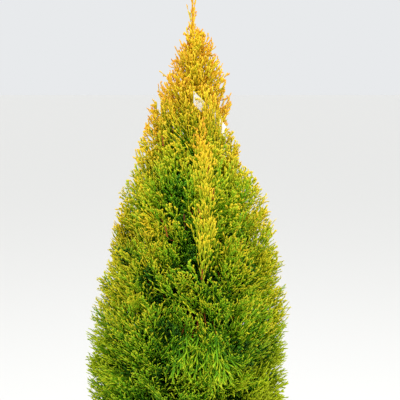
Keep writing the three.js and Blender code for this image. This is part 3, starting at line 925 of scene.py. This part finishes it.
def tints(place, seed, inner):
    """The tint of each face: yellower to the spray's tips, and golden towards the plant's top."""
    luck = np.random.default_rng(seed)
    pattern = place["pattern"]
    tip = tip_of(place)
    if inner:
        base = np.interp(place["root"][2], *zip(*INNER_TINTS)) + 0.6 * place["tint"]
        rise = 0.0
        yellowest = GOLD
    else:
        outwards = tip - stem_centre(tip[2])
        aside = abs(outwards[0]) / max(math.hypot(outwards[0], outwards[1]), 1)
        # The yellower tint towards the sides is a painted highlight on the crown's lit edges.
        base = np.interp(tip[2], *zip(*TINTS)) + 0.8 * place["tint"] + SIDES_PAINTED_HIGHLIGHT * aside ** 4
        base += RIGHT_YELLOWER * np.interp(tip[0], (60, 120), (0, 1)) * np.interp(tip[2], (440, 500), (1, 0))
        rise = np.interp(tip[2], (380, 980), YELLOWER_WITH_AGE)
        yellowest = np.interp(tip[2], *zip(*YELLOWEST))
    groups = pattern["group"] + 2
    shade = base + rise * pattern["age"] ** 2 + luck.uniform(-0.6, 0.6, groups.max() + 1)[groups]
    choice = np.clip(np.round(shade + TIPS_YELLOWER * pattern["tip"]), 0, yellowest).astype(int)
    if pattern is bare_twig:
        choice[:] = TWIG
    if luck.random() < BROWN_FEET:
        choice[groups == 0] = TWIG
    return choice


def sprays_piece(name, level, placed, seed, inner=False):
    parts = [(place_spray(place), place["pattern"]["faces"]) for place in placed]
    choices = [tints(place, seed + number, inner) for number, place in enumerate(placed)]
    piece = joined_mesh(name, *join(parts), spray_materials, np.concatenate(choices))
    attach(piece, "root")
    return piece


EXTRA_PLACES = [
    ("top", leader_places), ("crest", veil_places), ("high", plume_places), ("high", twig_places),
    ("upper", seam_places), ("middle", side_places), ("lower", fan_places),
]
for tier in TIERS:
    placed = []
    for mass in (mass for mass in masses if mass["tier"] is tier):
        placed += [sunk_in_hollow(outer_place(mass, number)) for number in range(tier["sprays"])]
    for name, places in EXTRA_PLACES:
        if name == tier["name"]:
            placed += list(places())
    piece = sprays_piece(f"sprays_{tier['name']}", tier["level"], placed, 1000 * tier["number"])
    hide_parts(*[f"foliage_{tier['name']}_{sector + 1}" for sector in range(tier["sectors"])])
for level in ("low", "middle", "high"):
    placed = [
        inner_place(mass, number) for mass in masses if mass["tier"]["level"] == level
        for number in range(mass["tier"]["inner_sprays"])
    ]
    sprays_piece(f"inner_sprays_{level}", level, placed, 50000, inner=True)


# The pot is a ten litre nursery pot, blow-moulded in one piece from dark recycled plastic. It has a deep band
# under a rolled rim, a body that tapers to the foot, and six drain notches round the foot. Its profile is
# radius and height, up the outside and down the inside.
POT_PROFILE = [
    (98.5, 0), (100, 1.5), (100.6, 8), (117, 170.5), (118.2, 172.2), (125, 173.6), (126.2, 175.4), (129, 209),
    (129.6, 211.2), (131.2, 212.6), (131.4, 214.6), (130.4, 216), (128.0, 216), (126.4, 214.5), (123.4, 174),
    (114.4, 171), (97.4, 4),
]
SIDES_ROUND = 96
NOTCH_COUNT = 6
NOTCH_RADIUS = 92
NOTCH_SIZE = (30, 24, 14)
SHARPEST_SMOOTH_EDGE = 32


def turned_body(name, profile, rings=0, ring_width=0):
    """A disc extruded and widened along a profile of radius and height, its last face inset in rings."""
    radius, height = profile[0]
    bpy.ops.mesh.primitive_circle_add(
        vertices=SIDES_ROUND, radius=radius * METRE, fill_type="NGON", location=(0, 0, height * METRE)
    )
    body = bpy.context.object
    body.name = name
    bpy.ops.object.transform_apply(location=True, rotation=True, scale=True)
    bpy.ops.object.mode_set(mode="EDIT")
    bpy.ops.mesh.select_all(action="SELECT")
    for next_radius, next_height in profile[1:]:
        rise = (0, 0, (next_height - height) * METRE)
        bpy.ops.mesh.extrude_region_move(TRANSFORM_OT_translate={"value": rise})
        scale = next_radius / radius
        bpy.ops.transform.resize(value=(scale, scale, 1), center_override=(0, 0, next_height * METRE))
        radius, height = next_radius, next_height
    for _ in range(rings):
        bpy.ops.mesh.inset(thickness=ring_width * METRE, depth=0)
    bpy.ops.mesh.select_all(action="SELECT")
    bpy.ops.mesh.normals_make_consistent(inside=False)
    bpy.ops.object.mode_set(mode="OBJECT")
    return body


pot = turned_body("nursery_pot", POT_PROFILE)
for number in range(NOTCH_COUNT):
    turn = 2 * math.pi * (number + 0.5) / NOTCH_COUNT
    spot = NOTCH_RADIUS * METRE * towards(turn)
    bpy.ops.mesh.primitive_cube_add(size=1, location=spot, rotation=(0, 0, turn))
    notch = bpy.context.object
    notch.scale = [length * METRE for length in NOTCH_SIZE]
    bpy.ops.object.transform_apply(location=True, rotation=True, scale=True)
    cut = pot.modifiers.new("notch", "BOOLEAN")
    cut.object = notch
    bpy.context.view_layer.objects.active = pot
    bpy.ops.object.modifier_apply(modifier="notch")
    bpy.data.objects.remove(notch)
pot.select_set(True)
bpy.context.view_layer.objects.active = pot
bpy.ops.object.shade_smooth_by_angle(angle=math.radians(SHARPEST_SMOOTH_EDGE))

# Recycled plastic is near-black with a faint mottle, half matt and more worn in places. The mould leaves a
# fine grain, drawn 1.1 mm wide to show. Splashed soil dulls the foot, and water marks run down the side.
MOTTLE_SIZE = 45.45
MARK_WIDTH = 7.692
MARK_STRETCH = (1, 1, 0.06)
GRAIN_SIZE = 1.111
SPLASH_HEIGHT = 90
RANGE_KEYS = ("From Min", "From Max", "To Min", "To Max")
plastic, plastic_shader = new_material("nursery_pot_moulded_plastic", "#2C2D2F", 0.45)
place = add_node(plastic, "TexCoord").outputs["Object"]
mottle_noise = {"Scale": 1 / (MOTTLE_SIZE * METRE), "Detail": 5, "Roughness": 0.65}
mottle = add_node(plastic, "TexNoise", mottle_noise, {"Vector": place})
dark = add_node(plastic, "ValToRGB", {"stops": ((0.35, "#26272A"), (0.75, "#343536"))}, {"Fac": mottle})
upright = add_node(plastic, "Mapping", {"Scale": MARK_STRETCH}, {"Vector": place})
mark_noise = {"Scale": 1 / (MARK_WIDTH * METRE), "Detail": 3, "Roughness": 0.6}
marks = add_node(plastic, "TexNoise", mark_noise, {"Vector": upright})
level = add_node(plastic, "SeparateXYZ", links={"Vector": place}).outputs["Z"]
splashed, marked, worn = [
    add_node(plastic, "MapRange", dict(zip(RANGE_KEYS, limits)), {"Value": source})
    for source, limits in (
        (level, (0.0, SPLASH_HEIGHT * METRE, 0.42, 0.0)),
        (marks, (0.52, 0.8, 0.0, 0.5)),
        (mottle, (0.3, 0.75, 0.36, 0.62)),
    )
]
soiled = add_node(plastic, "Math", {"operation": "ADD", "use_clamp": True}, {0: splashed, 1: marked})
# The inputs 6 and 7 of a Mix node, and its output 2, are its colours.
dusty = add_node(plastic, "Mix", {"data_type": "RGBA"}, {"Factor": soiled, 6: dark})
dusty.inputs[7].default_value = linear("#5C5246")
grain = add_node(plastic, "TexNoise", {"Scale": 1 / (GRAIN_SIZE * METRE), "Detail": 2}, {"Vector": place})
grained = add_node(plastic, "Bump", {"Strength": 0.25, "Distance": 0.2 * METRE}, {"Height": grain})
connect(plastic, plastic_shader, {"Base Color": dusty.outputs[2], "Roughness": worn, "Normal": grained})
pot.data.materials.append(plastic)
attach(pot, "root")
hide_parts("pot")


# The soil is dark peat with wood fibre, filled to a finger below the rim, firmed in by hand and lumpy from
# watering. It is a disc that widens to its edge on the pot, ringed so that its top can be raised in lumps.
SOIL_PROFILE = [(114, 176), (125, 201)]
SOIL_RINGS = 24
SOIL_RING_WIDTH = 5
LUMP_SIZE = 20
LUMP_HEIGHT = 12
LUMPS_ABOVE = 200
LUMPS_WITHIN = 122
soil = turned_body("potting_soil", SOIL_PROFILE, SOIL_RINGS, SOIL_RING_WIDTH)
lumps = bpy.data.textures.new("soil_lumps", "CLOUDS")
lumps.noise_scale = LUMP_SIZE * METRE
lumps.noise_depth = 4
top_of_soil = soil.vertex_groups.new(name="top")
for corner in soil.data.vertices:
    if corner.co.z > LUMPS_ABOVE * METRE and corner.co.xy.length < LUMPS_WITHIN * METRE:
        top_of_soil.add([corner.index], 1.0, "REPLACE")
displace = soil.modifiers.new("lumps", "DISPLACE")
displace.texture = lumps
displace.strength = LUMP_HEIGHT * METRE
displace.mid_level = 0.45
displace.direction = "Z"
displace.vertex_group = "top"
bpy.ops.object.modifier_apply(modifier="lumps")
bpy.ops.object.shade_smooth()

# Damp peat swallows light: it has hardly any gloss, and its crumbs, 3 mm wide, run from near-black to brown
# where they have dried.
CRUMB_SIZE = 3.125
peat, peat_shader = new_material("potting_soil_peat", "#3A2A1E", 0.95)
place = add_node(peat, "TexCoord").outputs["Object"]
crumb_noise = {"Scale": 1 / (CRUMB_SIZE * METRE), "Detail": 6, "Roughness": 0.7}
crumbs = add_node(peat, "TexNoise", crumb_noise, {"Vector": place})
peat_shades = add_node(peat, "ValToRGB", {"stops": ((0.38, "#1F1610"), (0.66, "#5C4632"))}, {"Fac": crumbs})
rough = add_node(peat, "Bump", {"Strength": 0.9, "Distance": 2 * METRE}, {"Height": crumbs})
connect(peat, peat_shader, {"Base Color": peat_shades, "Normal": rough})
soil.data.materials.append(peat)
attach(soil, "root")
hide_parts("soil")


# Chips of pine bark lie pressed into the soil's surface, as in any potting mix. Each is a flat, broken crumb
# of dry bark at its own size, turn and tilt.
CHIP_COUNT = 170
CHIP_SIZES = (2.5, 6.5)
CHIP_WIDTHS = (0.4, 0.8)
CHIP_THICKNESS = 0.35
CHIP_LEVEL = 203.5
CHIPS_WITHIN = 118
FIRST_CHIP = (60, -60, CHIP_LEVEL)
luck = np.random.default_rng(61)
bpy.ops.mesh.primitive_ico_sphere_add(subdivisions=1, radius=METRE, location=(0, 0, 0))
chips = bpy.context.object
chips.name = "bark_chips"
bpy.ops.object.mode_set(mode="EDIT")
bpy.ops.mesh.select_all(action="SELECT")
bpy.ops.transform.translate(value=[distance * METRE for distance in FIRST_CHIP])
for number in range(CHIP_COUNT):
    radius = CHIPS_WITHIN * math.sqrt(luck.uniform(0.06, 1))
    bearing = luck.uniform(0, 2 * math.pi)
    spot = (radius * towards(bearing) + np.array([0, 0, CHIP_LEVEL])) * METRE
    bpy.ops.mesh.select_all(action="DESELECT")
    bpy.ops.mesh.primitive_ico_sphere_add(subdivisions=1, radius=METRE, location=spot)
    size = luck.uniform(*CHIP_SIZES)
    shape = (size, size * luck.uniform(*CHIP_WIDTHS), size * CHIP_THICKNESS)
    bpy.ops.transform.resize(value=shape, center_override=spot)
    bpy.ops.transform.rotate(value=luck.uniform(0, 3.1), orient_axis="Z", center_override=spot)
    bpy.ops.transform.rotate(value=luck.uniform(-0.5, 0.5), orient_axis="X", center_override=spot)
bpy.ops.object.mode_set(mode="OBJECT")
# Weathered pine bark is dry and matt. Its layers, about 6 mm wide, run from dark to a greyed red-brown.
LAYER_SIZE = 6.25
CHIP_SHADES = ((0.35, "#2C1B12"), (0.68, "#7A5438"))
chip_bark, chip_shader = new_material("pine_bark_chips_weathered", "#4E3322", 0.9)
place = add_node(chip_bark, "TexCoord").outputs["Object"]
layer_noise = {"Scale": 1 / (LAYER_SIZE * METRE), "Detail": 4, "Roughness": 0.6}
layers = add_node(chip_bark, "TexNoise", layer_noise, {"Vector": place})
chip_shades = add_node(chip_bark, "ValToRGB", {"stops": CHIP_SHADES}, {"Fac": layers})
connect(chip_bark, chip_shader, {"Base Color": chip_shades})
chips.data.materials.append(chip_bark)
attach(chips, "root")


# The label is a blank strip cut from white plastic film, bent round the front of the crown and held by the
# sprays. It stays as the solid has it.

# White film is smooth and half glossy, and a little clouded by handling in patches 17 mm wide.
CLOUD_SIZE = 16.67
film, film_shader = new_material("label_white_plastic_film", "#EDEDEA", 0.45)
place = add_node(film, "TexCoord").outputs["Object"]
clouds = add_node(film, "TexNoise", {"Scale": 1 / (CLOUD_SIZE * METRE), "Detail": 3}, {"Vector": place})
film_shades = add_node(film, "ValToRGB", {"stops": ((0, "#E2E1DC"), (1, "#F4F4F1"))}, {"Fac": clouds})
connect(film, film_shader, {"Base Color": film_shades})
label = bpy.data.objects["label"]
for slot in label.material_slots:
    slot.material = film

size = {"cad": [list(corner) for corner in cad_box], "visual": [list(corner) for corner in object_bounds()]}
